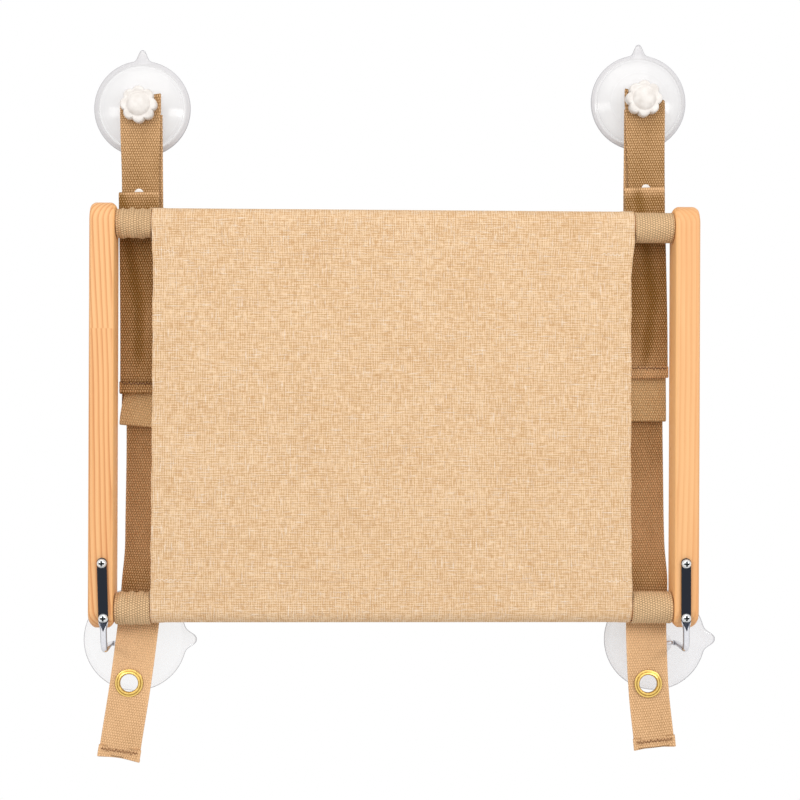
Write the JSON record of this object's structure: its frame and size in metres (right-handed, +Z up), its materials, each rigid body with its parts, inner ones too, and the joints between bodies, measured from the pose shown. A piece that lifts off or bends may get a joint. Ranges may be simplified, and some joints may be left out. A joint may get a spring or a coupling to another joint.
{
  "type": "window hammock bed for a pet",
  "caption": "Fold-up pet hammock bed for a window: linen sling on wooden rods and rails, hinged on suction cups, hung by webbing straps.",
  "frame": {"origin": "on the glass, at the height of the hinge pins and midway between them", "axes": "+X to the right as seen from the room, +Y through the glass to the outside, +Z up"},
  "size_m": [0.5066, 0.0611, 0.569],
  "materials": {
    "pine": "sanded pine, clear satin finish",
    "linen": "plain-woven linen look, matt",
    "webbing": "woven webbing, matt",
    "brass": "polished",
    "white_plastic": "gloss",
    "milky_plastic": "translucent milky, satin",
    "milky_vinyl": "soft clear vinyl, slightly milky",
    "clear_vinyl": "soft clear vinyl, glossy",
    "zinc_steel": "bright zinc plate"
  },
  "bodies": {
    "window_side": {"upper_cup_left": "milky_vinyl", "upper_cup_right": "milky_vinyl", "cup_stud_left": "zinc_steel", "cup_stud_right": "zinc_steel", "strap_anchor_left": "webbing", "strap_anchor_right": "webbing", "strap_back_left": "webbing", "strap_back_right": "webbing", "lower_cup_left": "clear_vinyl", "lower_cup_right": "clear_vinyl"},
    "bed": {"front_rod": "pine", "rear_rod": "pine", "sling": "linen", "side_rail_left": "pine", "side_rail_right": "pine", "front_rod_sleeve_left": "webbing", "front_rod_sleeve_right": "webbing", "rear_rod_sleeve_left": "webbing", "rear_rod_sleeve_right": "webbing", "pivot_bracket_left": "zinc_steel", "pivot_bracket_right": "zinc_steel", "bracket_screw_upper_left": "zinc_steel", "bracket_screw_upper_right": "zinc_steel", "bracket_screw_lower_left": "zinc_steel", "bracket_screw_lower_right": "zinc_steel", "rod_screw_front_left": "zinc_steel", "rod_screw_front_right": "zinc_steel", "rod_screw_rear_left": "zinc_steel", "rod_screw_rear_right": "zinc_steel"},
    "left_strap_drop": {"strap_drop_left": "webbing", "strap_stud_left": "white_plastic"},
    "left_strap_return": {"strap_return_left": "webbing"},
    "left_strap_end": {"strap_end_left": "webbing"},
    "left_tail": {"strap_tail_left": "webbing", "tail_eyelet_left": "brass"},
    "left_knob": {"clamp_knob_left": "milky_plastic"},
    "right_strap_drop": {"strap_drop_right": "webbing", "strap_stud_right": "white_plastic"},
    "right_strap_return": {"strap_return_right": "webbing"},
    "right_strap_end": {"strap_end_right": "webbing"},
    "right_tail": {"strap_tail_right": "webbing", "tail_eyelet_right": "brass"},
    "right_knob": {"clamp_knob_right": "milky_plastic"}
  },
  "joints": [
    {"name": "bed_fold", "type": "hinge", "parent": "window_side", "child": "bed", "pos_m": [0, -0.02, 0], "axis": [1, 0, 0], "range_deg": [0, 90]},
    {"name": "left_drop_swing", "type": "hinge", "parent": "window_side", "child": "left_strap_drop", "pos_m": [-0.2002, -0.0198, 0.4075], "axis": [1, 0, 0], "range_deg": [-38.9, 0], "deforming": ["strap_drop_left"]},
    {"name": "left_return_unfold", "type": "hinge", "parent": "left_strap_drop", "child": "left_strap_return", "pos_m": [-0.2002, -0.0212, 0.1726], "axis": [1, 0, 0], "range_deg": [0, 179.5], "deforming": ["strap_return_left"]},
    {"name": "left_end_unfold", "type": "hinge", "parent": "left_strap_return", "child": "left_strap_end", "pos_m": [-0.2002, -0.024, 0.3522], "axis": [1, 0, 0], "range_deg": [-179.5, 0], "deforming": ["strap_end_left"]},
    {"name": "right_drop_swing", "type": "hinge", "parent": "window_side", "child": "right_strap_drop", "pos_m": [0.1983, -0.0198, 0.4159], "axis": [1, 0, 0], "range_deg": [-38.9, 0], "deforming": ["strap_drop_right"]},
    {"name": "right_return_unfold", "type": "hinge", "parent": "right_strap_drop", "child": "right_strap_return", "pos_m": [0.1983, -0.0212, 0.1777], "axis": [1, 0, 0], "range_deg": [0, 179.5], "deforming": ["strap_return_right"]},
    {"name": "right_end_unfold", "type": "hinge", "parent": "right_strap_return", "child": "right_strap_end", "pos_m": [0.1983, -0.024, 0.3589], "axis": [1, 0, 0], "range_deg": [-179.5, 0], "deforming": ["strap_end_right"]},
    {"name": "left_tail_swing", "type": "hinge", "parent": "window_side", "child": "left_tail", "pos_m": [-0.1999, -0.0288, 0.017], "axis": [1, 0, 0], "range_deg": [-60, 0], "deforming": ["strap_tail_left"]},
    {"name": "right_tail_swing", "type": "hinge", "parent": "window_side", "child": "right_tail", "pos_m": [0.199, -0.0288, 0.017], "axis": [1, 0, 0], "range_deg": [-60, 0], "deforming": ["strap_tail_right"]},
    {"name": "left_knob_turn", "type": "hinge", "parent": "window_side", "child": "left_knob", "pos_m": [-0.2018, -0.027, 0.4228], "axis": [0, 1, 0], "continuous": true},
    {"name": "right_knob_turn", "type": "hinge", "parent": "window_side", "child": "right_knob", "pos_m": [0.1961, -0.027, 0.4312], "axis": [0, 1, 0], "continuous": true}
  ],
  "couplings": [
    {"joint": "left_drop_swing", "follows": "bed_fold", "ratio": -0.42944},
    {"joint": "left_return_unfold", "follows": "bed_fold", "ratio": 1.99},
    {"joint": "left_end_unfold", "follows": "bed_fold", "ratio": -1.99},
    {"joint": "right_drop_swing", "follows": "bed_fold", "ratio": -0.42356},
    {"joint": "right_return_unfold", "follows": "bed_fold", "ratio": 1.99},
    {"joint": "right_end_unfold", "follows": "bed_fold", "ratio": -1.99}
  ]
}
